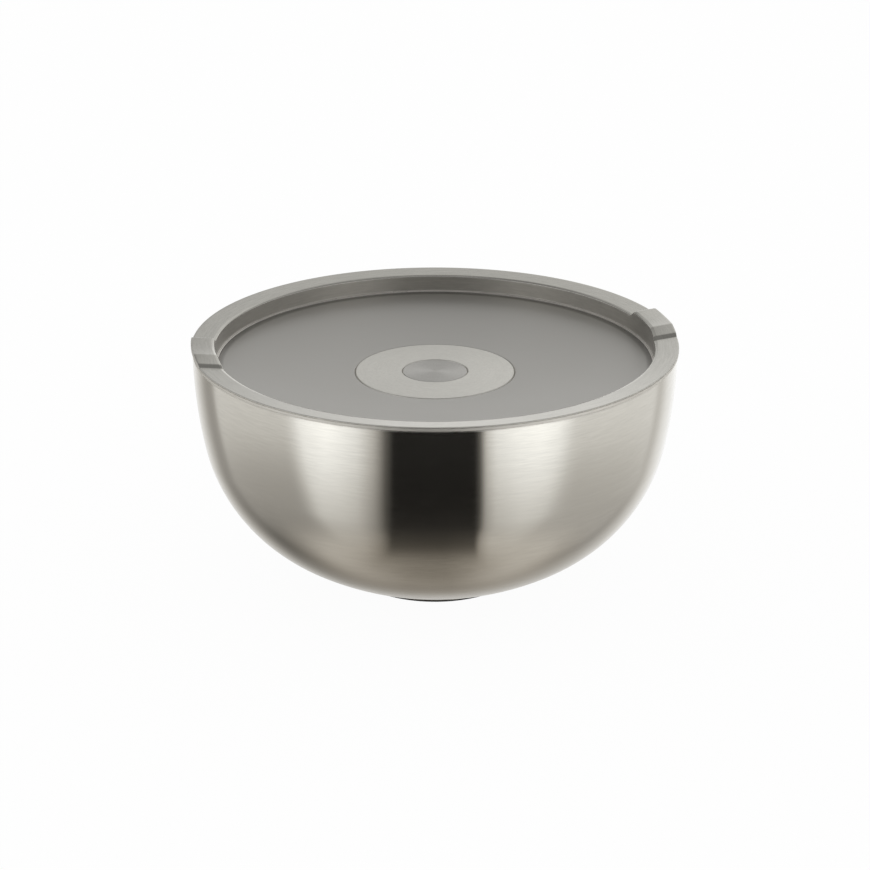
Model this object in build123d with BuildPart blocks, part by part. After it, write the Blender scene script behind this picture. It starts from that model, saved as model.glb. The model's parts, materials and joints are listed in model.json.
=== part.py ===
"""Insulated stainless bowl with a satin metal lid: a double-walled bowl, a foam-filled lid and a push vent.

Millimetres. The origin is the middle of the foot's underside, +Z is up, and the lid's finger tabs lie on X.
"""

import os
from math import atan2, degrees, hypot, sqrt

from build123d import *

# Bowl, outside: three tangent arcs between the rim and a flat bottom
rim_radius = 126.3
rim_height = 127.6
rim_band = 2.4
side_radius = 250.0
shoulder_radius = 87.5
bottom_radius = 152.0
flat_radius = 50.0
flat_height = 4.1

# Bowl, double wall
shell_wall = 0.8
vacuum_gap = 6.0
floor_gap = 8.0
bowl_wall = 0.8
lip_corner = 1.7
lip_edge_round = 0.5
floor_blend = 20.0

# Vacuum seal, getter and foot
port_radius = 1.5
plug_radius = 5.0
plug_height = 0.9
getter_radius = 6.0
getter_height = 2.4
getter_offset = 24.0
getter_edge = 0.5
cap_inset = 2.9
cap_wall = 0.8
pad_inset = 0.3
pad_thickness = 0.9
pad_edge = 0.3

# Lid cover
flange_overhang = 0.7
flange_edge = 2.2
flange_fall = 1.4
flange_top_round = 0.8
flange_under_round = 0.5
recess_edge_round = 0.7
recess_depth = 10.8
dish_depth = 17.7
recess_corner = 1.5
cover_wall = 2.0
cover_root = 1.8
mouth_clearance = 1.9

# Finger tabs, raised out of the flange over a finger gap, with a long slope in front and a short one behind
tab_front = 21.0
tab_back = 23.0
tab_rise = 3.0
tab_foot_rise = 1.6
tab_foot_run = 2.4
tab_front_run = 10.6
tab_back_run = 3.7
tab_front_bend = 25.0
tab_bend = 1.5
tab_inset = 0.2
tab_edge_round = 0.6
tab_gap_length = 36.0
tab_gap_top_length = 24.0
tab_gap_height = 2.4
tab_gap_depth = 8.0

# Trim ring and push button in the middle of the dish
trim_radius = 41.8
trim_thickness = 1.2
trim_edge = 0.25
trim_groove = 0.4
button_radius = 17.1
button_gap = 0.35
button_height = 5.0
button_crown = 2.0
button_skirt = 1.8
button_boss = 5.0
button_edge = 0.3
button_travel = 2.5
press_clearance = 2.3

# Lid liner, insulation and gasket
liner_wall = 1.6
liner_corner = 6.0
liner_lip = 1.2
liner_land = 1.2
foam_clearance = 0.3
gasket_seat = 1.6
gasket_height = 4.8
gasket_lips = 2
seal_clearance = 0.3

# Vent under the button
stem_radius = 3.0
stem_fit = 0.05
stem_tail = 1.4
guide_radius = 7.5
guide_flange_radius = 12.0
guide_flange = 1.2
guide_tail = 0.7
guide_hole_radius = 0.9
guide_holes = 4
guide_seal_height = 1.0
nut_sides = 6
nut_across_flats = 22.0
nut_height = 3.5
spring_radius = 6.6
spring_wire = 0.8
spring_turns = 4.5
spring_slack = 0.05
vent_seal_radius = 7.2
vent_seal_height = 1.5
vent_seal_gap = 0.2
washer_radius = 6.0
washer_height = 0.6
clip_radius = 5.0
clip_height = 0.8
clip_groove = 0.8
clip_mouth = 4.0

# Heights and radii that follow
inner_inset = shell_wall + vacuum_gap
cavity_inset = inner_inset + bowl_wall
lip_height = rim_height - bowl_wall
shell_floor = flat_height + shell_wall
inner_floor = shell_floor + floor_gap
cavity_floor = inner_floor + bowl_wall
cap_radius = flat_radius - cap_inset
pad_radius = cap_radius - pad_inset
cap_base = pad_thickness

flange_radius = rim_radius + flange_overhang
flange_top = rim_height + flange_edge
cover_radius = rim_radius - cavity_inset - mouth_clearance
recess_radius = cover_radius - cover_wall
dish_edge_height = flange_top - recess_depth
trim_top = flange_top - dish_depth
pocket_floor = trim_top - trim_thickness
pocket_radius = trim_radius + trim_groove
well_radius = button_radius + button_gap
button_base = trim_top - button_height
button_ceiling = trim_top - button_crown
guide_top = button_base - button_travel - press_clearance
guide_flange_base = guide_top - guide_flange
well_floor = guide_flange_base - guide_seal_height
liner_top = well_floor - cover_wall
liner_base = liner_top - liner_wall
liner_radius = cover_radius - gasket_seat

nut_base = liner_base - nut_height
guide_base = nut_base - guide_tail
seal_top = guide_base - vent_seal_gap
seal_base = seal_top - vent_seal_height
washer_base = seal_base - washer_height
clip_base = washer_base - clip_height
stem_base = clip_base - stem_tail

# Centres of the bowl's three arcs; the shoulder arc touches the other two
side_centre = (rim_radius - side_radius, rim_height - rim_band)
bottom_centre = (0.0, flat_height + sqrt(bottom_radius**2 - flat_radius**2))
side_reach = side_radius - shoulder_radius
bottom_reach = bottom_radius - shoulder_radius
span_r = bottom_centre[0] - side_centre[0]
span_z = bottom_centre[1] - side_centre[1]
span = hypot(span_r, span_z)
along = (side_reach**2 - bottom_reach**2 + span**2) / (2 * span)
across = sqrt(side_reach**2 - along**2)
shoulder_centre = (
    side_centre[0] + (along * span_r + across * span_z) / span,
    side_centre[1] + (along * span_z - across * span_r) / span,
)
side_end = degrees(atan2(shoulder_centre[1] - side_centre[1], shoulder_centre[0] - side_centre[0]))
shoulder_end = degrees(atan2(shoulder_centre[1] - bottom_centre[1], shoulder_centre[0]))

# Centre of the lid's dish, a sphere through the pocket's edge and the foot of the recess wall
dish_rise = dish_edge_height - trim_top
dish_centre = (recess_radius**2 - pocket_radius**2 + dish_edge_height**2 - trim_top**2) / (2 * dish_rise)
dish_radius = hypot(pocket_radius, dish_centre - trim_top)


def floor_radius(inset, floor_height):
    """Radius at which the bottom arc, moved inwards by inset, meets a flat floor."""
    return sqrt((bottom_radius - inset) ** 2 - (bottom_centre[1] - floor_height) ** 2)


def bowl_form(inset, floor_height, top):
    """Half section of what the wall, moved inwards by inset, holds between a flat floor and a top."""
    with BuildSketch() as form:
        with BuildLine():
            CenterArc(side_centre, side_radius - inset, 0, side_end)
            CenterArc(shoulder_centre, shoulder_radius - inset, side_end, shoulder_end - side_end)
            CenterArc(bottom_centre, bottom_radius - inset, shoulder_end, -90 - shoulder_end)
            Polyline(
                (0, bottom_centre[1] - bottom_radius + inset),
                (0, top),
                (rim_radius - inset, top),
                (rim_radius - inset, side_centre[1]),
            )
        make_face()
        with Locations((0, floor_height)):
            Rectangle(rim_radius, bottom_radius, align=(Align.MIN, Align.MAX), mode=Mode.SUBTRACT)
    return form.sketch


def cavity_radius(height):
    """Radius of the bowl's inside at a height within its side arc."""
    return side_centre[0] + sqrt((side_radius - cavity_inset) ** 2 - (side_centre[1] - height) ** 2)


def dish_height(radius, wall=0.0):
    """Height of the dish at a radius, on its top or wall below it."""
    return dish_centre - sqrt((dish_radius + wall) ** 2 - radius**2)


def dish_arc(inner, outer, wall=0.0):
    """Draw the dish between two radii, on its top or wall below it."""
    middle = (inner + outer) / 2
    ThreePointArc(
        (inner, dish_height(inner, wall)),
        (middle, dish_height(middle, wall)),
        (outer, dish_height(outer, wall)),
    )


def round_corner(section, radius, height, size):
    """Round the corner of a section that lies nearest to a point."""
    fillet(section.vertices().sort_by_distance((radius, height))[0], size)


def ring_solid(inner, outer, base, top):
    """Draw a plain ring or, with no inner radius, a disc between two heights in the open part."""
    with BuildSketch(Plane.XY.offset(base)) as outline:
        Circle(outer)
        if inner > 0:
            Circle(inner, mode=Mode.SUBTRACT)
    extrude(outline.sketch, amount=top - base)


def hump_outline(length, top_length, rise, base):
    """Draw a flat-topped hump on the YZ plane whose ends fall away in arcs that leave the top smoothly."""
    run = (length - top_length) / 2
    arc_radius = (run**2 + rise**2) / (2 * rise)
    sweep = degrees(atan2(run, arc_radius - rise))
    CenterArc((top_length / 2, base + rise - arc_radius), arc_radius, 90, -sweep)
    Line((top_length / 2, base + rise), (-top_length / 2, base + rise))
    CenterArc((-top_length / 2, base + rise - arc_radius), arc_radius, 90, sweep)
    foot = base - rise
    Polyline((-length / 2, base), (-length / 2, foot), (length / 2, foot), (length / 2, base))


def rims_tab(edge):
    """Whether an edge follows the top of a finger tab along its inner or outer side."""
    middle = edge @ 0.5
    sides = (recess_radius + tab_inset, flange_radius - tab_inset)
    off_side = min(abs(hypot(middle.X, middle.Y) - side) for side in sides)
    return middle.Z > flange_top and off_side < tab_inset / 2


# Outer shell: one wall thick, with the evacuation port in its flat bottom
with BuildPart() as outer_shell:
    with BuildSketch(Plane.XZ):
        add(bowl_form(0, flat_height, lip_height))
        add(bowl_form(shell_wall, shell_floor, lip_height), mode=Mode.SUBTRACT)
        with Locations((0, flat_height)):
            Rectangle(port_radius, shell_wall, align=Align.MIN, mode=Mode.SUBTRACT)
    revolve(axis=Axis.Z)

# Inner bowl: parallel to the shell across the vacuum space, with its rim turned out over the shell's edge
with BuildPart() as inner_bowl:
    with BuildSketch(Plane.XZ) as bowl_section:
        add(bowl_form(inner_inset, inner_floor, rim_height))
        add(bowl_form(cavity_inset, cavity_floor, rim_height), mode=Mode.SUBTRACT)
        with Locations((rim_radius - inner_inset, rim_height)):
            Rectangle(inner_inset, bowl_wall, align=(Align.MIN, Align.MAX))
        round_corner(bowl_section, rim_radius, rim_height, lip_edge_round)
        round_corner(bowl_section, rim_radius - cavity_inset, rim_height, lip_corner)
        round_corner(bowl_section, rim_radius - inner_inset, lip_height, lip_corner - bowl_wall)
        inner_blend = floor_blend + bowl_wall
        round_corner(bowl_section, floor_radius(cavity_inset, cavity_floor), cavity_floor, floor_blend)
        round_corner(bowl_section, floor_radius(inner_inset, inner_floor), inner_floor, inner_blend)
    revolve(axis=Axis.Z)

# Vacuum plug: a head under the shell's flat and a shank that fills the port
with BuildPart() as vacuum_plug:
    ring_solid(0, plug_radius, flat_height - plug_height, flat_height)
    ring_solid(0, port_radius, flat_height, shell_floor)

# Getter capsule, fixed to the shell's floor inside the vacuum space
with BuildPart() as getter:
    with BuildSketch(Plane.XY.offset(shell_floor)):
        with Locations((getter_offset, 0)):
            Circle(getter_radius)
    extrude(amount=getter_height)
    chamfer(getter.faces().sort_by(Axis.Z)[-1].edges(), getter_edge)

# Base cap: a shallow steel pan under the flat, which covers the plug
with BuildPart() as base_cap:
    ring_solid(0, cap_radius, cap_base, flat_height)
    with BuildSketch(Plane.XY.offset(flat_height)):
        Circle(cap_radius - cap_wall)
    extrude(amount=-(flat_height - cap_base - cap_wall), mode=Mode.SUBTRACT)
    fillet(base_cap.faces().sort_by(Axis.Z)[0].edges(), cap_wall / 2)

# Foot pad: the face that the bowl stands on
with BuildPart() as foot_pad:
    ring_solid(0, pad_radius, 0, pad_thickness)
    chamfer(foot_pad.faces().sort_by(Axis.Z)[0].edges(), pad_edge)

# One finger tab: its side view carried across the flange, leaning with it and trimmed to its edges
flange_lean = flange_fall / (flange_radius - recess_radius)
flange_inner_height = flange_top - flange_fall
tab_foot_top = flange_inner_height + tab_foot_rise
tab_top = flange_inner_height + tab_rise
tab_root = flange_inner_height - tab_rise
front_slope_start = tab_foot_run - tab_front
front_slope_end = front_slope_start + tab_front_run
back_slope_start = tab_back - tab_back_run
with BuildPart() as finger_tab:
    with BuildSketch(Plane.YZ.offset(recess_radius)) as tab_side:
        with BuildLine():
            Polyline(
                (-tab_front, flange_inner_height),
                (front_slope_start, tab_foot_top),
                (front_slope_end, tab_top),
                (back_slope_start, tab_top),
                (tab_back, flange_inner_height),
                (tab_back, tab_root),
                (-tab_front, tab_root),
                close=True,
            )
        make_face()
        round_corner(tab_side, front_slope_start, tab_foot_top, tab_bend)
        round_corner(tab_side, front_slope_end, tab_top, tab_front_bend)
        round_corner(tab_side, back_slope_start, tab_top, tab_bend)
    extrude(amount=2 * (flange_radius - recess_radius), dir=(1, 0, flange_lean))
    with BuildSketch(Plane.XY.offset(rim_height)):
        Circle(flange_radius - tab_inset)
        Circle(recess_radius + tab_inset, mode=Mode.SUBTRACT)
    extrude(amount=flange_edge + 2 * tab_rise, mode=Mode.INTERSECT)
    fillet(finger_tab.edges().filter_by(rims_tab), tab_edge_round)

# The finger gap under one tab, open at the flange's edge
with BuildPart() as finger_gap:
    with BuildSketch(Plane.YZ.offset(flange_radius - tab_gap_depth)):
        with BuildLine():
            hump_outline(tab_gap_length, tab_gap_top_length, tab_gap_height, rim_height)
        make_face()
    extrude(amount=2 * tab_gap_depth)

# Lid cover: flange, recess wall, dish, pocket for the trim ring and well for the button
pocket_edge = pocket_radius + cover_wall
land_inner = liner_radius - liner_wall - liner_land
land_height = dish_height(land_inner, cover_wall)
with BuildPart() as lid_cover:
    with BuildSketch(Plane.XZ) as cover_section:
        with BuildLine():
            Polyline(
                (recess_radius, dish_edge_height),
                (recess_radius, flange_inner_height),
                (flange_radius, flange_top),
                (flange_radius, rim_height),
                (cover_radius, rim_height),
                (cover_radius, land_height),
                (land_inner, land_height),
            )
            dish_arc(land_inner, pocket_edge, cover_wall)
            Polyline(
                (pocket_edge, dish_height(pocket_edge, cover_wall)),
                (pocket_edge, pocket_floor - cover_wall),
                (well_radius + cover_wall, pocket_floor - cover_wall),
                (well_radius + cover_wall, liner_top),
                (guide_radius, liner_top),
                (guide_radius, well_floor),
                (well_radius, well_floor),
                (well_radius, pocket_floor),
                (pocket_radius, pocket_floor),
                (pocket_radius, trim_top),
            )
            dish_arc(pocket_radius, recess_radius)
        make_face()
        round_corner(cover_section, flange_radius, flange_top, flange_top_round)
        round_corner(cover_section, flange_radius, rim_height, flange_under_round)
        round_corner(cover_section, recess_radius, flange_inner_height, recess_edge_round)
        round_corner(cover_section, recess_radius, dish_edge_height, recess_corner)
        round_corner(cover_section, cover_radius, rim_height, cover_root)
    revolve(axis=Axis.Z)
    add(finger_tab.part)
    mirror(finger_tab.part, about=Plane.YZ)
    add(finger_gap.part, mode=Mode.SUBTRACT)
    mirror(finger_gap.part, about=Plane.YZ, mode=Mode.SUBTRACT)

# Lid liner: a pan welded to the cover's land, with a lip that carries the gasket
gasket_base = land_height - gasket_height
with BuildPart() as lid_liner:
    with BuildSketch(Plane.XZ) as liner_section:
        with BuildLine():
            Polyline(
                (guide_radius, liner_base),
                (liner_radius, liner_base),
                (liner_radius, gasket_base - liner_lip),
                (cover_radius, gasket_base - liner_lip),
                (cover_radius, gasket_base),
                (liner_radius, gasket_base),
                (liner_radius, land_height),
                (liner_radius - liner_wall, land_height),
                (liner_radius - liner_wall, liner_top),
                (guide_radius, liner_top),
                close=True,
            )
        make_face()
        round_corner(liner_section, liner_radius, liner_base, liner_corner)
        round_corner(liner_section, liner_radius - liner_wall, liner_top, liner_corner - liner_wall)
    revolve(axis=Axis.Z)

# Insulation: fills the space between cover and liner and lies on the liner
foam_inner = well_radius + cover_wall + foam_clearance
foam_step = pocket_edge + foam_clearance
foam_outer = liner_radius - liner_wall - foam_clearance
foam_drop = cover_wall + foam_clearance
foam_top = min(dish_height(foam_outer, foam_drop), land_height - foam_clearance)
with BuildPart() as lid_insulation:
    with BuildSketch(Plane.XZ) as foam_section:
        with BuildLine():
            Polyline(
                (foam_step, dish_height(foam_step, foam_drop)),
                (foam_step, pocket_floor - foam_drop),
                (foam_inner, pocket_floor - foam_drop),
                (foam_inner, liner_top),
                (foam_outer, liner_top),
                (foam_outer, dish_height(foam_outer, foam_drop)),
            )
            dish_arc(foam_step, foam_outer, foam_drop)
        make_face()
        round_corner(foam_section, foam_outer, liner_top, liner_corner)
    revolve(axis=Axis.Z)
    split(bisect_by=Plane.XY.offset(foam_top), keep=Keep.BOTTOM)

# Gasket: a ring in the groove between cover and liner, with pointed lips just clear of the bowl's inside
lip_pitch = gasket_height / gasket_lips
lip_radius = cavity_radius(gasket_base) - seal_clearance
with BuildPart() as lid_gasket:
    with BuildSketch(Plane.XZ):
        with BuildLine():
            lip_points = [(liner_radius, land_height), (liner_radius, gasket_base)]
            for lip in range(gasket_lips):
                lip_base = gasket_base + lip * lip_pitch
                lip_points += [(cover_radius, lip_base), (lip_radius, lip_base + lip_pitch / 2)]
            lip_points += [(cover_radius, land_height)]
            Polyline(*lip_points, close=True)
        make_face()
    revolve(axis=Axis.Z)

# Trim ring, let into its pocket flush with the button
with BuildPart() as trim_ring:
    ring_solid(well_radius, trim_radius, pocket_floor, trim_top)
    chamfer(trim_ring.faces().sort_by(Axis.Z)[-1].edges(), trim_edge)

# Vent guide: a flanged bush clamped through cover and liner, with vent holes around the stem
guide_hole_circle = (stem_radius + stem_fit + guide_radius) / 2
with BuildPart() as vent_guide:
    ring_solid(0, guide_flange_radius, guide_flange_base, guide_top)
    ring_solid(0, guide_radius, guide_base, guide_flange_base)
    with Locations((0, 0, guide_top)):
        Hole(stem_radius + stem_fit)
        with PolarLocations(guide_hole_circle, guide_holes):
            Hole(guide_hole_radius)

# Washer between the guide's flange and the well's floor
with BuildPart() as guide_seal:
    ring_solid(guide_radius, guide_flange_radius, well_floor, guide_flange_base)

# Hexagonal nut under the liner
with BuildPart() as guide_nut:
    with BuildSketch(Plane.XY.offset(nut_base)):
        RegularPolygon(nut_across_flats / 2, nut_sides, major_radius=False)
        Circle(guide_radius, mode=Mode.SUBTRACT)
    extrude(amount=nut_height)

# Coil spring from the guide's flange to the button's ceiling
spring_start = guide_top + spring_wire / 2 + spring_slack
spring_rise = button_ceiling - guide_top - spring_wire - 2 * spring_slack
with BuildPart() as vent_spring:
    with BuildLine() as spring_path:
        Helix(spring_rise / spring_turns, spring_rise, spring_radius, center=(0, 0, spring_start))
    with BuildSketch(Plane(spring_path.line @ 0, z_dir=spring_path.line % 0)):
        Circle(spring_wire / 2)
    sweep(path=spring_path.line, is_frenet=True)

# Push button: a cap with a skirt that slides in the well and a boss that holds the stem
with BuildPart() as vent_button:
    ring_solid(0, button_radius, button_base, trim_top)
    with BuildSketch(Plane.XY.offset(button_base)):
        Circle(button_radius - button_skirt)
        Circle(button_boss, mode=Mode.SUBTRACT)
        Circle(stem_radius)
    extrude(amount=button_height - button_crown, mode=Mode.SUBTRACT)
    chamfer(vent_button.faces().sort_by(Axis.Z)[-1].edges(), button_edge)

# Stem from the button's boss down through the guide, with a groove for the clip
with BuildPart() as vent_stem:
    ring_solid(0, stem_radius, stem_base, button_ceiling)
    with BuildSketch(Plane.XY.offset(clip_base)):
        Circle(stem_radius)
        Circle(stem_radius - clip_groove, mode=Mode.SUBTRACT)
    extrude(amount=clip_height, mode=Mode.SUBTRACT)

# Silicone disc that closes the guide's vent holes from below
with BuildPart() as vent_seal:
    ring_solid(stem_radius, vent_seal_radius, seal_base, seal_top)

# Washer that backs the silicone disc
with BuildPart() as stem_washer:
    ring_solid(stem_radius, washer_radius, washer_base, seal_base)

# Open clip in the stem's groove
with BuildPart() as stem_clip:
    with BuildSketch(Plane.XY.offset(clip_base)):
        Circle(clip_radius)
        Circle(stem_radius - clip_groove, mode=Mode.SUBTRACT)
        with Locations((clip_radius, 0)):
            Rectangle(2 * clip_radius, clip_mouth, mode=Mode.SUBTRACT)
    extrude(amount=clip_height)

pieces = {
    "outer_shell": outer_shell,
    "inner_bowl": inner_bowl,
    "vacuum_plug": vacuum_plug,
    "getter": getter,
    "base_cap": base_cap,
    "foot_pad": foot_pad,
    "lid_cover": lid_cover,
    "lid_liner": lid_liner,
    "lid_insulation": lid_insulation,
    "lid_gasket": lid_gasket,
    "trim_ring": trim_ring,
    "vent_guide": vent_guide,
    "guide_seal": guide_seal,
    "guide_nut": guide_nut,
    "vent_spring": vent_spring,
    "vent_button": vent_button,
    "vent_stem": vent_stem,
    "vent_seal": vent_seal,
    "stem_washer": stem_washer,
    "stem_clip": stem_clip,
}
os.makedirs("parts", exist_ok=True)
for name, piece in pieces.items():
    piece.part.label = name
    export_step(piece.part, f"parts/{name}.step")
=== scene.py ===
"""Looks of the insulated bowl with lid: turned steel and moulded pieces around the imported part's frame.

Metres, +Z up, with the lid's finger tabs on X. Outlines are half sections in millimetres, radius by height.
"""

import json
from math import atan2, cos, degrees, hypot, pi, radians, sin, sqrt

import bpy
import numpy as np
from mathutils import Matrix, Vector


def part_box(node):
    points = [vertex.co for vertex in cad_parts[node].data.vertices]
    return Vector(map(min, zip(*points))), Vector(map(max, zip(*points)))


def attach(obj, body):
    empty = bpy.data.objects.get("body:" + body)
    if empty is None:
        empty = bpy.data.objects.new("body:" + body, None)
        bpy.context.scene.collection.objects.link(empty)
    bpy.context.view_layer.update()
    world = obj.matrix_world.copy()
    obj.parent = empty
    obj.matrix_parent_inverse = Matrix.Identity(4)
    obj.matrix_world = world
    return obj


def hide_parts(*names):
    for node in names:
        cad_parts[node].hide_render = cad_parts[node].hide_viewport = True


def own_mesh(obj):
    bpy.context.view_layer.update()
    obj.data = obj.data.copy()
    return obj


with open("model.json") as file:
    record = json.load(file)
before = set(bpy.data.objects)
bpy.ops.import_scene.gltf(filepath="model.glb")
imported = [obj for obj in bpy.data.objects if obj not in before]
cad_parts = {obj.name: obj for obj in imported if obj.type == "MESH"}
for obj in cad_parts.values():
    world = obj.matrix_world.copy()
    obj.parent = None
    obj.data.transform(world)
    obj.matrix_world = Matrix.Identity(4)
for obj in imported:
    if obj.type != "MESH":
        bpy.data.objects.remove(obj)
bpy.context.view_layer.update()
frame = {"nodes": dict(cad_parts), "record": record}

MM = 0.001

# Bowl: three tangent arcs between the rim band and the flat, and two walls with a vacuum between them
rim_band = 2.4
side_radius = 250.0
shoulder_radius = 87.5
bottom_radius = 152.0
flat_radius = 50.0
shell_wall = 0.8
bowl_wall = 0.8
vacuum_gap = 6.0
port_radius = 1.5
lip_corner = 1.7
lip_edge_round = 0.4

# Foot: a steel pan with a pad under it
cap_wall = 0.8
cap_edge_round = 0.48
cap_corner_round = 0.32
cap_lip_round = 0.15
pad_edge_round = 0.35
pad_top_round = 0.1

# Lid cover: flange, recess wall, dish, pocket for the trim ring and well for the button
flange_width = 12.2
flange_thickness = 2.2
flange_fall = 1.4
flange_top_round = 0.35
flange_under_round = 0.2
flange_edge_flat = 1.2
rest_gap = 0.1
rest_gap_depth = 2.5
seam_fall = 0.5
seam_width = 0.42
seam_depth = 0.32
recess_edge_round = 0.7
bevel_width = 1.6
bevel_drop = 0.37
bevel_round = 0.2
recess_depth = 10.8
ledge_width = 1.2
ledge_rise = 0.9
ledge_round = 0.4
cover_wall = 2.0
cover_root = 1.8
pocket_gap = 0.08
pocket_bevel = 0.5
button_gap = 0.35
liner_wall = 1.6
liner_land = 1.2

# Trim ring, push button and the spring under it
ring_gap = 0.12
ring_rise = 0.18
ring_bevel = 0.4
button_bevel = 0.35
button_skirt = 1.8
button_crown = 2.0
button_skirt_round = 0.2
bevel_edge_round = 0.1
spring_wire = 0.8
spring_turns = 4.5

# Finger tabs, with a long slope in front and a short one behind, and the finger gaps under them, along Y
tab_front = 21.0
tab_back = 23.0
tab_rise = 3.0
tab_foot_run = 2.9
tab_foot_rise = 1.35
tab_front_run = 10.6
tab_back_run = 3.7
tab_bend = 0.5
tab_dip = 0.3
tab_edge_drop = 0.2
tab_edge_width = 1.5
tab_step = 0.4
gap_length = 36.0
gap_top_length = 24.0
gap_height = 2.4
gap_depth = 8.0

# Distances from an edge to the next grid line, which keep flat faces flat in the shading
flat_margin = 0.8
wall_margin = 0.6
bevel_margin = 0.3
dish_margin = 2.0
tab_margin = 3.0
short_step = 0.1

# Grid counts, and the angle in degrees from which an edge is sharp
bottom_steps = 14
shoulder_steps = 40
side_steps = 18
dish_steps = 14
under_dish_steps = 10
bend_samples = 9
far_steps = 150
coil_steps = 270
wire_sides = 12
shell_segments = 360
ring_segments = 288
disc_segments = 192
floor_segments = 96
sharp_angle = 50.0

# Camera, fitted to the photograph's square frame
camera_azimuth = -11.1
camera_elevation = 21.62
camera_distance = 1.143
camera_aim_height = 0.0758
camera_lens = 88.86


def reach(node):
    """Outer radius, base and top of a turned node, in millimetres."""
    low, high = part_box(node)
    return high.y / MM, low.z / MM, high.z / MM


def arc(centre, radius, start, end, steps):
    """Points on a circle about centre from angle start to angle end, in degrees."""
    angle = np.radians(np.linspace(start, end, steps))
    return np.stack([centre[0] + radius * np.cos(angle), centre[1] + radius * np.sin(angle)], axis=1)


def plain(points):
    """Outline points that stay as they are, with no rounding."""
    return [(r, z, 0.0) for r, z in points]


def rounded(corners, closed=True, steps=6):
    """Outline through corners (radius, height, size).

    A corner with a size becomes an arc of that radius that touches both its sides: it starts and ends at
    size / tan(half the corner's angle) from the corner, and its centre lies on the corner's bisector.
    """
    points = np.array([corner[:2] for corner in corners])
    outline = []
    for index, (r, z, size) in enumerate(corners):
        end = not closed and index in (0, len(corners) - 1)
        if size == 0 or end:
            outline.append([(r, z)])
            continue
        here = points[index]
        back = points[index - 1] - here
        ahead = points[(index + 1) % len(points)] - here
        back /= np.linalg.norm(back)
        ahead /= np.linalg.norm(ahead)
        half = np.arccos(np.clip(back @ ahead, -1, 1)) / 2
        bisector = (back + ahead) / np.linalg.norm(back + ahead)
        centre = here + bisector * size / np.sin(half)
        first = here + back * size / np.tan(half) - centre
        last = here + ahead * size / np.tan(half) - centre
        turn = np.linspace(0, 1, steps)[:, None]
        spread = pi - 2 * half
        sweep = np.sin((1 - turn) * spread) * first + np.sin(turn * spread) * last
        outline.append(centre + sweep / np.sin(spread))
    return np.concatenate(outline)


def full_circle(segments):
    """Evenly spaced angles once round the axis."""
    return np.linspace(0, 2 * pi, segments, endpoint=False)


def surface(name, rows, poles=None):
    """Mesh from a grid of points, rows by columns, closed in its columns.

    Without poles the rows close on themselves too. With poles the grid is capped by a fan at each end.
    """
    count, columns = rows.shape[:2]
    row = np.arange(count)[:, None]
    column = np.arange(columns)[None, :]
    last = count if poles is None else count - 1
    here = (row * columns + column)[:last]
    beside = (row * columns + (column + 1) % columns)[:last]
    above = ((row + 1) % count * columns + column)[:last]
    across = ((row + 1) % count * columns + (column + 1) % columns)[:last]
    faces = np.stack([here, beside, across, above], axis=-1).reshape(-1, 4).tolist()
    points = rows.reshape(-1, 3)
    if poles is not None:
        points = np.concatenate([points, poles])
        first_row, next_first = np.arange(columns), (np.arange(columns) + 1) % columns
        top_row = first_row + (count - 1) * columns
        next_top = next_first + (count - 1) * columns
        low, high = np.full(columns, len(points) - 2), np.full(columns, len(points) - 1)
        faces += np.stack([low, next_first, first_row], axis=-1).tolist()
        faces += np.stack([high, top_row, next_top], axis=-1).tolist()
    mesh = bpy.data.meshes.new(name)
    mesh.from_pydata(points * MM, [], faces)
    mesh.shade_smooth()
    mesh.set_sharp_from_angle(angle=radians(sharp_angle))
    piece = bpy.data.objects.new(name, mesh)
    bpy.context.scene.collection.objects.link(piece)
    return piece


def turned(name, outline, angles):
    """Outline carried round the Z axis: x = r cos(a), y = r sin(a), z = z.

    An outline that starts and ends on the axis is closed there by a pole at each end.
    """
    on_axis = outline[0, 0] < 1e-6
    rings = outline[1:-1] if on_axis else outline
    radius, height = rings[:, :1], rings[:, 1:]
    rows = np.stack([radius * np.cos(angles), radius * np.sin(angles), height + 0 * angles], axis=-1)
    poles = np.array([[0, 0, outline[0, 1]], [0, 0, outline[-1, 1]]]) if on_axis else None
    return surface(name, rows, poles)


def dressed(piece, body, node, slot):
    """Let a new piece ride on a body, stand for a node and take a slot's finish."""
    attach(piece, body)
    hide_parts(node)
    piece.data.materials.append(finishes[slot])
    return piece


# Heights and radii that follow from the frame
rim_radius, flat_height, shell_top = reach("outer_shell")
_, inner_floor, rim_height = reach("inner_bowl")
flange_radius, cover_base, _ = reach("lid_cover")
trim_radius, pocket_floor, trim_top = reach("trim_ring")
button_radius, button_base, button_top = reach("vent_button")
cap_radius, cap_base, cap_top = reach("base_cap")
pad_radius, _, pad_top = reach("foot_pad")
guide_radius = reach("vent_guide")[0]
spring_reach, spring_base, spring_top = reach("vent_spring")
flange_top = rim_height + flange_thickness
flange_inner_height = flange_top - flange_fall
recess_radius = flange_radius - flange_width
cover_radius = recess_radius + cover_wall
dish_edge = flange_top - recess_depth


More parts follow.
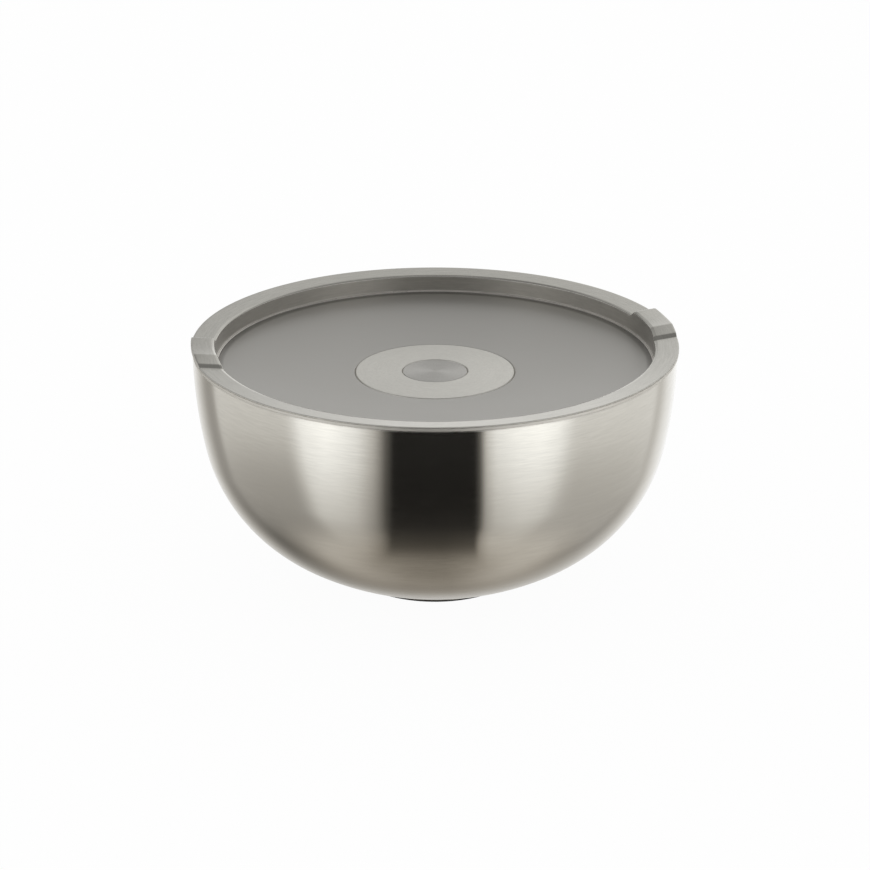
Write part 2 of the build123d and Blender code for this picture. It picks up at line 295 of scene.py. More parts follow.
def bowl_arcs():
    """Centres of the wall's three arcs and the angles where they meet.

    The side arc is level at the rim band, the bottom arc is centred on the axis and ends at the flat, and
    the shoulder arc between them touches both from inside.
    """
    side = (rim_radius - side_radius, rim_height - rim_band)
    bottom = (0.0, flat_height + sqrt(bottom_radius**2 - flat_radius**2))
    side_reach, bottom_reach = side_radius - shoulder_radius, bottom_radius - shoulder_radius
    apart_r, apart_z = bottom[0] - side[0], bottom[1] - side[1]
    apart = hypot(apart_r, apart_z)
    along = (side_reach**2 - bottom_reach**2 + apart**2) / (2 * apart)
    aside = sqrt(side_reach**2 - along**2)
    shoulder = (
        side[0] + (along * apart_r + aside * apart_z) / apart,
        side[1] + (along * apart_z - aside * apart_r) / apart,
    )
    side_end = degrees(atan2(shoulder[1] - side[1], shoulder[0] - side[0]))
    shoulder_end = degrees(atan2(shoulder[1] - bottom[1], shoulder[0]))
    return side, shoulder, bottom, side_end, shoulder_end


def wall(inset, floor_height):
    """The bowl's wall, moved inwards by inset, from a flat floor up to the rim band."""
    side, shoulder, bottom, side_end, shoulder_end = bowl_arcs()
    floor_radius = sqrt((bottom_radius - inset) ** 2 - (bottom[1] - floor_height) ** 2)
    floor_end = degrees(atan2(floor_height - bottom[1], floor_radius))
    return np.concatenate([
        arc(bottom, bottom_radius - inset, floor_end, shoulder_end, bottom_steps),
        arc(shoulder, shoulder_radius - inset, shoulder_end, side_end, shoulder_steps)[1:],
        arc(side, side_radius - inset, side_end, 0, side_steps)[1:],
    ])


def hump(y, length, top_length, rise):
    """Height of a flat-topped hump at a distance y from its middle.

    On each side an arc leaves the top level and falls to nothing.
    """
    run = (length - top_length) / 2
    fall_radius = (run**2 + rise**2) / (2 * rise)
    past = np.clip(np.abs(y) - top_length / 2, 0, run)
    return np.sqrt(fall_radius**2 - past**2) - (fall_radius - rise)


def tab_rise_at(y):
    """Rise of a finger tab at y: a steep foot, a long slope, a level top and a short slope down behind.

    The straight runs are averaged over a short stretch to each side, which rounds the bends between them, and
    the top sinks in its middle as a parabola.
    """
    foot_end = tab_foot_run - tab_front
    crest, back_crest = foot_end + tab_front_run, tab_back - tab_back_run
    ends = [-tab_front, foot_end, crest, back_crest, tab_back]
    rises = [0, tab_foot_rise, tab_rise, tab_rise, 0]
    shifts = np.linspace(-tab_bend, tab_bend, bend_samples)
    runs = np.mean([np.interp(y + shift, ends, rises) for shift in shifts], axis=0)
    along = np.clip((y - crest) / (back_crest - crest), 0, 1)
    return runs - 4 * tab_dip * along * (1 - along)


def new_tree(tree):
    """An emptied node tree with a short way to add nodes to it."""
    tree.nodes.clear()

    def add(kind, inputs=None, **settings):
        node = tree.nodes.new("ShaderNode" + kind)
        for name, value in settings.items():
            setattr(node, name, value)
        for socket, value in (inputs or {}).items():
            if isinstance(value, bpy.types.NodeSocket):
                tree.links.new(value, node.inputs[socket])
            else:
                node.inputs[socket].default_value = value
        return node

    return add


def maths(add, operation, *values):
    """Output of a Math node on sockets or numbers."""
    return add("Math", dict(enumerate(values)), operation=operation).outputs[0]


def stops(ramp, levels):
    """Set a colour ramp's stops from (position, colour) pairs."""
    elements = ramp.color_ramp.elements
    while len(elements) > 1:
        elements.remove(elements[-1])
    for index, (position, colour) in enumerate(levels):
        element = elements[0] if index == 0 else elements.new(position)
        element.position = position
        element.color = (*colour, 1.0)


def place_round_axis(add):
    """Object coordinates: the way out from the axis as a flat vector, its length and the height."""
    place = add("SeparateXYZ", {0: add("TexCoord").outputs["Object"]})
    flat = add("CombineXYZ", {0: place.outputs[0], 1: place.outputs[1]}).outputs[0]
    radius = add("VectorMath", {0: flat}, operation="LENGTH").outputs["Value"]
    return flat, radius, place.outputs[2]


def turned_lines_group():
    """Lines left by turning and brushing: noise that is fine across the surface and long round the axis.

    Across is radius plus height, which grows steadily along any of the turned outlines. Round is the unit
    direction from the axis, so that the pattern closes on itself.
    """
    fine_detail, slow_detail, unevenness = 4.0, 2.0, 0.65
    streak_density, band_density, band_arc = 0.30, 0.06, 1.5
    group = bpy.data.node_groups.new("turned_lines", "ShaderNodeTree")
    for name, value in (("Lines per mm", 4.0), ("Arc", 3.0), ("Streak arc", 12.0)):
        group.interface.new_socket(name, in_out="INPUT", socket_type="NodeSocketFloat").default_value = value
    for name in ("Lines", "Streaks", "Bands"):
        group.interface.new_socket(name, in_out="OUTPUT", socket_type="NodeSocketFloat")
    add = new_tree(group)
    given = group.nodes.new("NodeGroupInput")
    per_mm = given.outputs["Lines per mm"]
    flat, radius, height = place_round_axis(add)
    way = add("VectorMath", {0: flat}, operation="NORMALIZE").outputs[0]
    across = maths(add, "DIVIDE", maths(add, "ADD", radius, height), MM)

    def lines(density, arc_scale, detail):
        round_part = add("VectorMath", {0: way, "Scale": arc_scale}, operation="SCALE").outputs[0]
        across_part = add("CombineXYZ", {2: maths(add, "MULTIPLY", across, density)}).outputs[0]
        vector = add("VectorMath", {0: round_part, 1: across_part}, operation="ADD").outputs[0]
        noise = add("TexNoise", {"Vector": vector, "Scale": 1.0, "Detail": detail, "Roughness": unevenness})
        return noise.outputs[0]

    fine = lines(per_mm, given.outputs["Arc"], fine_detail)
    short = lines(maths(add, "MULTIPLY", per_mm, streak_density), given.outputs["Streak arc"], slow_detail)
    coarse = lines(maths(add, "MULTIPLY", per_mm, band_density), band_arc, slow_detail)
    taken = group.nodes.new("NodeGroupOutput")
    group.links.new(fine, taken.inputs["Lines"])
    group.links.new(short, taken.inputs["Streaks"])
    group.links.new(coarse, taken.inputs["Bands"])
    return group


def moulded_skin_group():
    """Skin of a moulded piece: a fine pebble grain, and slow patches where the gloss and shade drift."""
    detail, grain_unevenness, patch_unevenness = 3.0, 0.55, 0.5
    group = bpy.data.node_groups.new("moulded_skin", "ShaderNodeTree")
    for name, value in (("Grains per mm", 3.0), ("Patch mm", 30.0)):
        group.interface.new_socket(name, in_out="INPUT", socket_type="NodeSocketFloat").default_value = value
    for name in ("Grain", "Patches"):
        group.interface.new_socket(name, in_out="OUTPUT", socket_type="NodeSocketFloat")
    add = new_tree(group)
    given = group.nodes.new("NodeGroupInput")
    place = add("TexCoord").outputs["Object"]

    def noise(scale, unevenness):
        inputs = {"Vector": place, "Scale": scale, "Detail": detail, "Roughness": unevenness}
        return add("TexNoise", inputs).outputs[0]

    grain = noise(maths(add, "DIVIDE", given.outputs["Grains per mm"], MM), grain_unevenness)
    patches = noise(maths(add, "DIVIDE", 1 / MM, given.outputs["Patch mm"]), patch_unevenness)
    taken = group.nodes.new("NodeGroupOutput")
    group.links.new(grain, taken.inputs["Grain"])
    group.links.new(patches, taken.inputs["Patches"])
    return group


def span(add, value, low, high, start=0.25, end=0.75):
    """A noise value between start and end spread from low to high."""
    inputs = {"Value": value, "From Min": start, "From Max": end, "To Min": low, "To Max": high}
    return add("MapRange", inputs).outputs[0]


def colour_socket(sockets, name):
    """The colour socket of that name on a Mix node, which has one for each kind of value."""
    return next(socket for socket in sockets if socket.name == name and socket.type == "RGBA")


def blend(add, factor, first, second):
    """Mix of two colours, each given as a colour or a socket, by a factor between 0 and 1."""
    mix = add("Mix", {"Factor": factor}, data_type="RGBA")
    for name, colour in (("A", first), ("B", second)):
        socket = colour_socket(mix.inputs, name)
        if isinstance(colour, bpy.types.NodeSocket):
            mix.id_data.links.new(colour, socket)
        else:
            socket.default_value = (*colour, 1.0)
    return colour_socket(mix.outputs, "Result")


def shade(colour, factor):
    """A colour made lighter or darker by a factor."""
    return tuple(channel * factor for channel in colour)


def varied(add, share, colour, change):
    """A colour whose shade runs from 1 - change to 1 + change while a share runs from 0 to 1."""
    return blend(add, share, shade(colour, 1 - change), shade(colour, 1 + change))


def new_finish(name):
    """A material with an empty tree, ready for its nodes."""
    finish = bpy.data.materials.new(name)
    finish.use_nodes = True
    return finish, new_tree(finish.node_tree)


def end_finish(add, shader):
    """Join a shader to the material's output."""
    add("OutputMaterial", {"Surface": shader.outputs["BSDF"]})


def turned_steel(name, colour, roughness, spread, anisotropy, per_mm, arc_scale, depth, streak):
    """Brushed steel whose lines run round the axis, so that reflections stretch across the lines.

    Short streaks of scattered length, over slow bands, vary its shade and its gloss.
    """
    streak_share, quarter_turn = 0.75, 0.25
    finish, add = new_finish(name)
    lines = add("Group", {"Lines per mm": per_mm, "Arc": arc_scale}, node_tree=groups["turned_lines"])
    streaks = maths(add, "MULTIPLY", lines.outputs["Streaks"], streak_share)
    bands = maths(add, "MULTIPLY", lines.outputs["Bands"], 1 - streak_share)
    both = maths(add, "ADD", streaks, bands)
    bump = add("Bump", {"Height": lines.outputs["Lines"], "Distance": depth * MM, "Strength": 1.0})
    shader = add("BsdfPrincipled", {
        "Base Color": varied(add, span(add, both, 0, 1), colour, streak),
        "Metallic": 1.0,
        "Roughness": span(add, both, roughness + spread, roughness - spread),
        "Anisotropic": anisotropy,
        "Anisotropic Rotation": quarter_turn,
        "Tangent": add("Tangent", direction_type="RADIAL", axis="Z").outputs[0],
        "Normal": bump.outputs[0],
    })
    end_finish(add, shader)
    return finish


def lid_skin(name, rings):
    """Satin metal of the lid in rings: each has a start radius, a width to fade in, a colour and a roughness.

    A fine grain covers it all. Slow patches vary the floor's shade, and brushed streaks the other rings'.
    """
    floor_change, brush_change, gloss_change = 0.03, 0.08, 0.03
    grains, patch, per_mm, arc_scale, depth = 5.0, 30.0, 3.0, 4.0, 0.004
    finish, add = new_finish(name)
    skin = add("Group", {"Grains per mm": grains, "Patch mm": patch}, node_tree=groups["moulded_skin"])
    lines = add("Group", {"Lines per mm": per_mm, "Arc": arc_scale}, node_tree=groups["turned_lines"])
    _, radius, _ = place_round_axis(add)
    drift, brush = span(add, skin.outputs["Patches"], 0, 1), span(add, lines.outputs["Streaks"], 0, 1)
    _, _, floor_colour, gloss = rings[0]
    metal = varied(add, drift, floor_colour, floor_change)
    for inner, fade, colour, roughness in rings[1:]:
        past = add("MapRange", {0: radius, 1: inner * MM, 2: (inner + fade) * MM}).outputs[0]
        metal = blend(add, past, metal, varied(add, brush, colour, brush_change))
        gloss = add("Mix", {"Factor": past, "A": gloss, "B": roughness}).outputs[0]
    bump = add("Bump", {"Height": skin.outputs["Grain"], "Distance": depth * MM, "Strength": 1.0})
    shader = add("BsdfPrincipled", {
        "Base Color": metal,
        "Metallic": 1.0,
        "Roughness": maths(add, "ADD", gloss, span(add, drift, -gloss_change, gloss_change, 0, 1)),
        "Normal": bump.outputs[0],
    })
    end_finish(add, shader)
    return finish


def moulded(name, colour, roughness, grains, depth, patch):
    """Plastic, rubber, foam or dull metal with a fine grain and slow patches."""
    shade_change, gloss_change = 0.05, 0.03
    finish, add = new_finish(name)
    skin = add("Group", {"Grains per mm": grains, "Patch mm": patch}, node_tree=groups["moulded_skin"])
    patches = skin.outputs["Patches"]
    bump = add("Bump", {"Height": skin.outputs["Grain"], "Distance": depth * MM, "Strength": 1.0})
    shader = add("BsdfPrincipled", {
        "Base Color": varied(add, span(add, patches, 0, 1), colour, shade_change),
        "Roughness": span(add, patches, roughness - gloss_change, roughness + gloss_change),
        "Normal": bump.outputs[0],
    })
    end_finish(add, shader)
    return finish


groups = {"turned_lines": turned_lines_group(), "moulded_skin": moulded_skin_group()}

shell_colour = (0.760, 0.745, 0.690)
lid_colour = (0.572, 0.560, 0.528)

# The lid's rings from the middle out: floor, painted shadow by the ledge, ledge, recess wall, flange, outer
# wall
painted_shade_width, painted_shade_fade = 3.2, 1.6
wall_start, edge_shift, outer_start, ring_fade = 0.2, 0.02, 0.25, 0.1
lid_rings = [
    (0.0, 0.0, lid_colour, 0.40),
    # A darker band on the floor just inside the ledge: painted shadow
    (recess_radius - ledge_width - painted_shade_width, painted_shade_fade, (0.380, 0.368, 0.345), 0.40),
    # The ledge much lighter than the floor: painted highlight
    (recess_radius - ledge_width + edge_shift, ring_fade, (0.860, 0.830, 0.780), 0.28),
    # The recess wall darker than the floor and flange: painted shade
    (recess_radius - wall_start, ring_fade, (0.490, 0.473, 0.440), 0.34),
    (recess_radius + edge_shift, ring_fade, (0.600, 0.585, 0.534), 0.18),
    # The flange's outer wall lighter than its top: painted highlight
    (flange_radius - outer_start, ring_fade, (0.780, 0.760, 0.710), 0.54),
]

# Turned metals: colour, roughness and its spread, anisotropy, lines per mm, arc, depth in mm, streaks' change
turned_looks = {
    "brushed_shell": (shell_colour, 0.130, 0.035, 1.0, 5.0, 2.5, 0.002, 0.055),
    "satin_steel": (shade(shell_colour, 0.95), 0.28, 0.04, 0.9, 5.0, 2.5, 0.004, 0.06),
    "trim_steel": (shade(shell_colour, 1.03), 0.36, 0.04, 0.15, 4.0, 2.0, 0.004, 0.06),
    "spring_steel": ((0.60, 0.60, 0.59), 0.22, 0.04, 0.0, 8.0, 4.0, 0.002, 0.06),
    "stem_steel": ((0.62, 0.61, 0.59), 0.25, 0.05, 0.6, 8.0, 3.0, 0.003, 0.06),
    "button_grey": (shade(lid_colour, 1.04), 0.38, 0.04, 0.6, 4.0, 2.0, 0.004, 0.06),
}

# Grained pieces: colour, roughness, grains per mm, grain depth in mm, patch size in mm
moulded_looks = {
    "getter_steel": ((0.40, 0.39, 0.37), 0.55, 6.0, 0.02, 6.0),
    "seal_braze": ((0.55, 0.47, 0.33), 0.50, 6.0, 0.02, 4.0),
    "liner_grey": ((0.30, 0.295, 0.285), 0.42, 5.0, 0.008, 30.0),
    "guide_plastic": ((0.06, 0.06, 0.06), 0.45, 6.0, 0.008, 30.0),
    "gasket_silicone": ((0.34, 0.34, 0.33), 0.60, 4.0, 0.010, 30.0),
    "pad_silicone": ((0.025, 0.025, 0.025), 0.65, 3.0, 0.020, 30.0),
    "foam": ((0.76, 0.73, 0.64), 0.90, 1.5, 0.15, 12.0),
}

finishes = {"lid_grey": lid_skin("lid_grey", lid_rings)}
finishes |= {name: turned_steel(name, *look) for name, look in turned_looks.items()}
finishes |= {name: moulded(name, *look) for name, look in moulded_looks.items()}


def outer_shell():
    """One wall thick: outer wall up, over the top edge, inner wall down, and the flat with its port."""
    shell_floor = flat_height + shell_wall
    outside = wall(0, flat_height)
    inside = wall(shell_wall, shell_floor)[::-1]
    corners = plain([(port_radius, flat_height)]) + plain(outside)
    corners += plain([(rim_radius, shell_top), (rim_radius - shell_wall, shell_top)])
    corners += plain(inside) + plain([(port_radius, shell_floor)])
    return turned("bowl_shell", rounded(corners), full_circle(shell_segments))


def inner_bowl():
    """Inside of the bowl: floor, wall and a rim turned out over the shell's edge."""
    inset = shell_wall + vacuum_gap
    cavity_floor = inner_floor + bowl_wall
    under = wall(inset, inner_floor)
    above = wall(inset + bowl_wall, cavity_floor)[::-1]
    lip_height = rim_height - bowl_wall
    corners = plain([(0, inner_floor)]) + plain(under)
    corners += [
        (rim_radius - inset, lip_height, lip_corner - bowl_wall),
        (rim_radius, lip_height, 0.0),
        (rim_radius, rim_height, lip_edge_round),
        (rim_radius - inset - bowl_wall, rim_height, lip_corner),
    ]
    corners += plain(above) + plain([(0, cavity_floor)])
    return turned("bowl_inside", rounded(corners, closed=False), full_circle(ring_segments))


def base_cap():
    """Shallow pan under the flat, open at its top."""
    inner_radius = cap_radius - cap_wall
    corners = [
        (0, cap_base, 0.0),
        (cap_radius, cap_base, cap_edge_round),
        (cap_radius, cap_top, cap_lip_round),
        (inner_radius, cap_top, cap_lip_round),
        (inner_radius, cap_base + cap_wall, cap_corner_round),
        (0, cap_base + cap_wall, 0.0),
    ]
    return turned("foot_pan", rounded(corners, closed=False), full_circle(disc_segments))


def foot_pad():
    """Disc that the bowl stands on, with a soft lower edge."""
    corners = [
        (0, 0, 0.0),
        (pad_radius, 0, pad_edge_round),
        (pad_radius, pad_top, pad_top_round),
        (0, pad_top, 0.0),
    ]
    return turned("foot_disc", rounded(corners, closed=False), full_circle(disc_segments))


def dish_height(radius):
    """Height of the lid's dish: a parabola, level on the axis, from the pocket's edge to the wall's foot."""
    pocket_radius = trim_radius + pocket_gap
    share = (radius**2 - pocket_radius**2) / (recess_radius**2 - pocket_radius**2)
    return trim_top + (dish_edge - trim_top) * share


def cover_outline():
    """Half section of the lid cover, anticlockwise from the flange's underside."""
    pocket_radius = trim_radius + pocket_gap
    well_radius = button_radius + button_gap
    well_floor = cover_base + cover_wall
    under_pocket = pocket_floor - cover_wall
    land_inner = recess_radius + cover_wall - 2 * liner_wall - liner_land
    dish_radii = np.linspace(recess_radius - 2 * ledge_width, pocket_radius + dish_margin, dish_steps)
    dish = [(r, dish_height(r)) for r in dish_radii]
    under_radii = np.linspace(pocket_radius + cover_wall, land_inner, under_dish_steps)
    under_dish = [(r, dish_height(r) - cover_wall) for r in under_radii]
    land_height = under_dish[-1][1]
    foot_height = dish_height(recess_radius - ledge_width)
    seam_height = flange_top - seam_fall
    flange_slope = flange_fall / flange_width
    inner_flat = flange_width - bevel_width
    bevel_top = flange_top - flange_slope * inner_flat
    wall_top = bevel_top - bevel_drop
    corners = [
        (flange_radius - rest_gap_depth, rim_height, 0.0),
        (flange_radius - rest_gap_depth + short_step, rim_height + rest_gap, 0.0),
        (flange_radius, rim_height + rest_gap, flange_under_round),
        (flange_radius, seam_height - seam_width / 2, 0.0),
        (flange_radius - seam_depth, seam_height, 0.0),
        (flange_radius, seam_height + seam_width / 2, 0.0),
        (flange_radius, flange_top, flange_top_round),
        (flange_radius - flange_edge_flat, flange_top - flange_slope * flange_edge_flat, 0.0),
        (flange_radius - inner_flat + bevel_margin, bevel_top + flange_slope * bevel_margin, 0.0),
        (recess_radius + bevel_width, bevel_top, bevel_round),
        (recess_radius, wall_top, recess_edge_round),
        (recess_radius, wall_top - recess_edge_round - wall_margin, 0.0),
        (recess_radius, foot_height + ledge_rise + wall_margin, 0.0),
        (recess_radius, foot_height + ledge_rise, ledge_round),
        (recess_radius - ledge_width, foot_height + ledge_rise, ledge_round),
        (recess_radius - ledge_width, foot_height, 0.0),
    ]
    corners += plain(dish)
    corners += [
        (pocket_radius + pocket_bevel, dish_height(pocket_radius + pocket_bevel), bevel_edge_round),
        (pocket_radius, trim_top - pocket_bevel, 0.0),
        (pocket_radius, pocket_floor, 0.0),
        (well_radius, pocket_floor, 0.0),
        (well_radius, well_floor, 0.0),
        (guide_radius, well_floor, 0.0),
        (guide_radius, cover_base, 0.0),
        (well_radius + cover_wall, cover_base, 0.0),
        (well_radius + cover_wall, under_pocket, 0.0),
        (pocket_radius + cover_wall, under_pocket, 0.0),
    ]
    corners += plain(under_dish)
    corners += [
        (cover_radius, land_height, 0.0),
        (cover_radius, rim_height, cover_root),
        (flange_radius - gap_depth - short_step, rim_height, 0.0),
        (flange_radius - gap_depth + short_step, rim_height, 0.0),
    ]
    return rounded(corners)


def lid_cover():
    """Lid cover with its finger tabs.

    Grid lines near the tabs keep their distance y from the X axis on the flange: angle = asin(y / r). The
    flange's top and edge lift by the tab's rise at y, a little less near its edges, and its underside by the
    finger gap's hump.
    """
    outline = cover_outline()
    zone = max(tab_front, tab_back) + tab_margin
    near = np.arcsin(np.arange(-zone, zone + tab_step / 2, tab_step) / recess_radius)
    far = np.linspace(near[-1], pi - near[-1], far_steps)[1:-1]
    angles = np.concatenate([near, far, near + pi, far + pi])
    radius, height = outline[:, :1], outline[:, 1:]
    stretch = np.maximum(radius / recess_radius, 1.0)
    fade = np.clip(2 - np.abs(np.sin(angles)) * recess_radius / zone, 0, 1)
    shifted = np.arcsin(np.clip(np.sin(angles) / stretch, -1, 1))
    shifted = np.where(np.cos(angles) < 0, pi - shifted, shifted)
    turn = np.angle(np.exp(1j * (shifted - angles)))
    place = angles + fade * turn
    y = recess_radius * np.sin(angles) + 0 * radius
    on_flange = radius > recess_radius - ledge_width / 2
    top = on_flange & (height > flange_inner_height - 2 * recess_edge_round)
    just_over = 1.01
    under_limit = rim_height + rest_gap + flange_under_round * just_over
    bottom = (radius > flange_radius - gap_depth) & (height < under_limit)
    to_edge = np.minimum(radius - recess_radius, flange_radius - radius)
    worn = np.clip(1 - to_edge / tab_edge_width, 0, 1) ** 2
    rise = tab_rise_at(y)
    lift = np.where(top, rise - tab_edge_drop * worn * rise / tab_rise, 0.0)
    lift = np.where(bottom, hump(y, gap_length, gap_top_length, gap_height), lift)
    rows = np.stack([radius * np.cos(place), radius * np.sin(place), height + lift], axis=-1)
    return surface("lid_top", rows)


def trim_ring():
    """Flat steel ring with bevelled edges, let into the dish."""
    inner, ring_top = button_radius + ring_gap, trim_top + ring_rise
    corners = [
        (inner, pocket_floor, 0.0),
        (trim_radius, pocket_floor, 0.0),
        (trim_radius, ring_top - ring_bevel, 0.0),
        (trim_radius - ring_bevel, ring_top, bevel_edge_round),
        (trim_radius - flat_margin, ring_top, 0.0),
        (inner + flat_margin, ring_top, 0.0),
        (inner + ring_bevel, ring_top, bevel_edge_round),
        (inner, ring_top - ring_bevel, 0.0),
    ]
    return turned("lid_ring", rounded(corners), full_circle(ring_segments))


def push_button():
    """Cap with a skirt: a level top with a bevelled edge, and a hollow underneath."""
    hollow_radius, hollow_top = button_radius - button_skirt, button_top - button_crown
    corners = [
        (0, hollow_top, 0.0),
        (hollow_radius, hollow_top, 0.0),
        (hollow_radius, button_base, 0.0),
        (button_radius, button_base, button_skirt_round),
        (button_radius, button_top - button_bevel, 0.0),
        (button_radius - button_bevel, button_top, bevel_edge_round),
        (button_radius - flat_margin, button_top, 0.0),
        (0, button_top, 0.0),
    ]
    return turned("push_disc", rounded(corners, closed=False), full_circle(disc_segments))


def vent_coil():
    """Coil spring: a tube of the wire's radius w about the helix (R cos(t), R sin(t), base + w + slope t).

    A point of the tube lies at w cos(u) along the outward direction and w sin(u) along the binormal.
    """
    wire = spring_wire / 2
    radius = spring_reach - wire
    whole_turn = 2 * pi * spring_turns
    slope = (spring_top - spring_base - spring_wire) / whole_turn
    turn = np.linspace(0, whole_turn, coil_steps)[:, None]
    sides = full_circle(wire_sides)
    height = spring_base + wire + slope * turn
    centre = np.stack([radius * np.cos(turn), radius * np.sin(turn), height], axis=-1)
    outward = np.stack([np.cos(turn), np.sin(turn), 0 * turn], axis=-1)
    tilt = slope / radius
    binormal = np.stack([-tilt * np.sin(turn), tilt * np.cos(turn), -1 + 0 * turn], axis=-1) / hypot(tilt, 1)
    rows = centre + wire * (np.cos(sides)[:, None] * outward + np.sin(sides)[:, None] * binormal)
    return surface("vent_coil", rows, centre[[0, -1], 0])


dressed(outer_shell(), "bowl", "outer_shell", "brushed_shell")
dressed(inner_bowl(), "bowl", "inner_bowl", "satin_steel")
dressed(base_cap(), "bowl", "base_cap", "satin_steel")
dressed(foot_pad(), "bowl", "foot_pad", "pad_silicone")
dressed(lid_cover(), "lid", "lid_cover", "lid_grey")
dressed(trim_ring(), "lid", "trim_ring", "trim_steel")
dressed(push_button(), "vent", "vent_button", "button_grey")
coil = dressed(vent_coil(), "lid", "vent_spring", "spring_steel")
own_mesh(coil)

for subpart in frame["record"]["subparts"]:
    solid = frame["nodes"][subpart["node"]]
    solid.data.materials.clear()
    solid.data.materials.append(finishes[subpart["material_slot"]])


def studio_world():
    """Studio round the object: the camera sees plain white, other rays soft light, and the steel the studio.

    Ramps give its light by direction: by compass in degrees from the camera, positive to its right, by
    elevation in degrees, and by how far a direction points to the right, from -1 to 1. Panels ring the
    horizon and dim upwards and downwards, with a wing on each side and a backdrop behind the object. In front
    of it a dark gap lies between two panels. A ceiling and a floor close the studio, it is dusky low on the
    far left, and its dim light is warm, most of all from below.
    """
    panels = [
        (-180, 1.02), (-160, 0.84), (-150, 0.65), (-140, 0.38), (-136, 0.33), (-108, 0.42), (-82, 0.54),
        (-64, 1.12), (-50, 1.29), (50, 1.29), (60, 1.14), (68, 0.80), (80, 0.70), (125, 0.68), (133, 0.55),
        (144, 0.86), (160, 1.01), (180, 1.02),
    ]
    heights = [
        (-90, 0.30), (-62, 0.40), (-46, 0.52), (-38, 0.66), (-26, 0.97), (-10, 1.15), (0, 1.15), (9, 0.78),
        (18, 0.53), (27, 0.56), (34, 0.51), (40, 0.34), (46, 0.29), (90, 0.28),
    ]
    left_span = [(-129, 0.0), (-126, 1.0), (-76, 1.0), (-66, 0.0)]
    left_wing = [
        (-90, 0.26), (-53, 0.27), (-37, 0.34), (-31, 0.40), (-24, 0.67), (-20, 0.73), (5, 0.72), (20, 0.45),
        (90, 0.36),
    ]
    right_span = [(66, 0.0), (76, 1.0), (126, 1.0), (131, 0.0)]
    right_wing = [
        (-90, 0.40), (-53, 0.42), (-37, 0.45), (-31, 0.53), (-24, 0.77), (-20, 0.80), (5, 0.75), (20, 0.45),
        (90, 0.36),
    ]
    ceiling = [(40, 0.34), (52, 0.26), (62, 0.21), (71, 0.22), (77, 0.46), (83, 0.72), (90, 0.80)]
    near_floor = [(-90, 0.24), (-81, 0.27), (-74, 0.36), (-66, 0.49), (-60, 0.59), (-50, 0.62)]
    backdrop = [(-0.5, 1.04), (-0.15, 0.98), (-0.05, 0.96), (0.05, 1.28), (0.15, 1.30), (0.6, 1.20)]
    floor_sides = [
        (-0.50, 0.97), (-0.35, 1.06), (-0.20, 1.08), (-0.08, 0.95), (0.05, 0.93), (0.20, 1.27), (0.32, 1.26),
        (0.40, 1.10), (0.50, 1.00),
    ]
    far_left = [(-180, 0.0), (-160, 0.8), (-150, 1.0), (-125, 1.0), (-108, 0.0)]
    gap = [
        (-0.75, 1.00), (-0.56, 0.74), (-0.45, 0.42), (-0.37, 0.10), (-0.31, 0.01), (0.30, 0.01), (0.34, 0.09),
        (0.38, 0.50), (0.45, 0.76), (0.60, 0.92), (0.75, 1.00),
    ]
    gap_fill = [
        (-90, 1.00), (-81, 0.85), (-74, 0.50), (-66, 0.11), (-40, 0.00), (2, 0.00), (20, 0.50), (60, 0.50),
        (90, 1.00),
    ]
    warmth = [(-90, 0.145), (-62, 0.135), (-46, 0.07), (-15, 0.07), (0, 0.0)]
    brightest, blue_loss = 1.60, -1.25
    far_floor, dusk_level, soft_light = 0.27, 0.72, 0.9
    spread_power, low_spread = 0.16, 0.14
    world = bpy.data.worlds.new("studio")
    world.use_nodes = True
    bpy.context.scene.world = world
    add = new_tree(world.node_tree)

    def ease(value, start, end):
        inputs = {"Value": value, "From Min": start, "From Max": end}
        return add("MapRange", inputs, interpolation_type="SMOOTHSTEP").outputs[0]

    def ramp(value, levels, limit):
        node = add("ValToRGB", {0: maths(add, "MULTIPLY_ADD", value, 0.5 / limit, 0.5)})
        stops(node, [(0.5 + 0.5 * at / limit, (level / brightest,) * 3) for at, level in levels])
        return maths(add, "MULTIPLY", node.outputs[0], brightest)

    def by_compass(levels):
        return ramp(compass, levels, 180)

    def by_elevation(levels):
        return ramp(elevation, levels, 90)

    def by_right(levels):
        return ramp(right, levels, 1)

    def between(factor, first, second):
        return add("Mix", {"Factor": factor, "A": first, "B": second}).outputs[0]

    turned_way = add("VectorRotate", {"Vector": add("TexCoord").outputs["Generated"],
                                      "Angle": radians(-camera_azimuth)}, rotation_type="Z_AXIS")
    way = add("SeparateXYZ", {0: turned_way.outputs[0]})
    right, up = way.outputs[0], way.outputs[2]
    nearer = maths(add, "MULTIPLY", way.outputs[1], -1.0)
    compass = maths(add, "DEGREES", maths(add, "ARCTAN2", right, nearer))
    elevation = maths(add, "DEGREES", maths(add, "ARCSINE", up))
    level_reach = maths(add, "SUBTRACT", 1.0, maths(add, "MULTIPLY", up, up))
    spread = maths(add, "DIVIDE", right, maths(add, "POWER", level_reach, spread_power))
    widening = maths(add, "MULTIPLY_ADD", ease(elevation, -46, -58), low_spread, 1.0)
    lean = maths(add, "MULTIPLY", spread, widening)

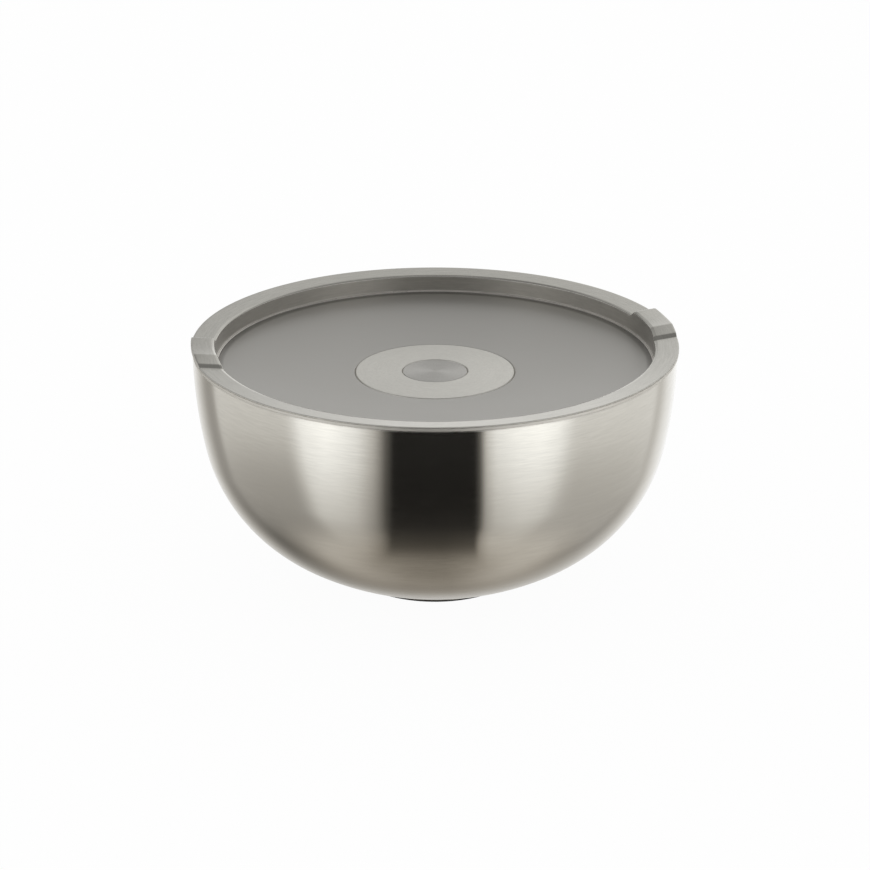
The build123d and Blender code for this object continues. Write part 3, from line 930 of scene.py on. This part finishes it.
    ring = maths(add, "MULTIPLY", by_compass(panels), by_elevation(heights))
    with_left = between(by_compass(left_span), ring, by_elevation(left_wing))
    wings = between(by_compass(right_span), with_left, by_elevation(right_wing))
    behind = maths(add, "MULTIPLY", ease(nearer, -0.2, -0.7), ease(elevation, 2, 12))
    lit_side = maths(add, "MULTIPLY", wings, between(behind, 1.0, by_right(backdrop)))
    dusk = maths(add, "MULTIPLY", by_compass(far_left), ease(elevation, -38, -50))
    side = maths(add, "MULTIPLY", lit_side, between(dusk, 1.0, dusk_level))
    floor_depth = between(ease(nearer, -0.45, -0.05), far_floor, by_elevation(near_floor))
    floor = maths(add, "MULTIPLY", floor_depth, by_right(floor_sides))
    low = between(ease(elevation, -45, -66), side, floor)
    gap_share = maths(add, "MAXIMUM", ramp(lean, gap, 1), by_elevation(gap_fill))
    open_share = between(ease(nearer, -0.25, 0.35), 1.0, gap_share)
    below_ceiling = maths(add, "MULTIPLY", low, open_share)
    level = between(ease(elevation, 40, 60), below_ceiling, by_elevation(ceiling))
    dimness = maths(add, "MAXIMUM", maths(add, "SUBTRACT", 1.0, level), 0.0)
    warm = maths(add, "MULTIPLY", dimness, by_elevation(warmth))
    red = maths(add, "MULTIPLY", level, maths(add, "ADD", 1.0, warm))
    blue = maths(add, "MULTIPLY", level, maths(add, "MULTIPLY_ADD", warm, blue_loss, 1.0))
    colour = add("CombineColor", {0: red, 1: level, 2: blue}).outputs[0]

    studio = add("Background", {"Color": colour, "Strength": 1.0})
    soft = add("Background", {"Color": (1, 1, 1, 1), "Strength": soft_light})
    white = add("Background", {"Color": (1, 1, 1, 1), "Strength": 1.0})
    path = add("LightPath")
    mirrored = maths(add, "MAXIMUM", path.outputs["Is Glossy Ray"], path.outputs["Is Transmission Ray"])
    lit = add("MixShader", {0: mirrored, 1: soft.outputs[0], 2: studio.outputs[0]})
    seen = add("MixShader", {0: path.outputs["Is Camera Ray"], 1: lit.outputs[0], 2: white.outputs[0]})
    add("OutputWorld", {0: seen.outputs[0]})


def studio_floor():
    """Wide pale disc that keeps a light shadow; the steel sees the studio through it."""
    floor_radius, paint_level, glow_share = 14.0, 0.9, 0.96
    ring = full_circle(floor_segments)
    outline = np.stack([np.cos(ring), np.sin(ring), 0 * ring], axis=-1) * floor_radius
    mesh = bpy.data.meshes.new("floor")
    mesh.from_pydata(outline, [], [list(range(len(ring)))])
    floor = bpy.data.objects.new("floor", mesh)
    bpy.context.scene.collection.objects.link(floor)
    floor.visible_glossy = False
    finish, add = new_finish("floor_white")
    paint = add("BsdfDiffuse", {"Color": (paint_level, paint_level, paint_level, 1)})
    glow = add("Emission", {"Color": (1, 1, 1, 1), "Strength": 1.0})
    share = maths(add, "MULTIPLY", add("LightPath").outputs["Is Camera Ray"], glow_share)
    mixed = add("MixShader", {0: share, 1: paint.outputs[0], 2: glow.outputs[0]})
    add("OutputMaterial", {"Surface": mixed.outputs[0]})
    mesh.materials.append(finish)


def photo_camera():
    """Camera at the photograph's azimuth, elevation and distance, aimed at a point on the axis."""
    azimuth, elevation = radians(camera_azimuth), radians(camera_elevation)
    back = Vector((sin(azimuth) * cos(elevation), -cos(azimuth) * cos(elevation), sin(elevation)))
    lens = bpy.data.cameras.new("camera")
    lens.lens = camera_lens
    camera = bpy.data.objects.new("camera", lens)
    camera.location = Vector((0, 0, camera_aim_height)) + back * camera_distance
    camera.rotation_mode = "QUATERNION"
    camera.rotation_quaternion = (-back).to_track_quat("-Z", "Y")
    bpy.context.scene.collection.objects.link(camera)
    bpy.context.scene.camera = camera


studio_world()
studio_floor()
photo_camera()
bpy.context.scene.view_settings.view_transform = "Standard"
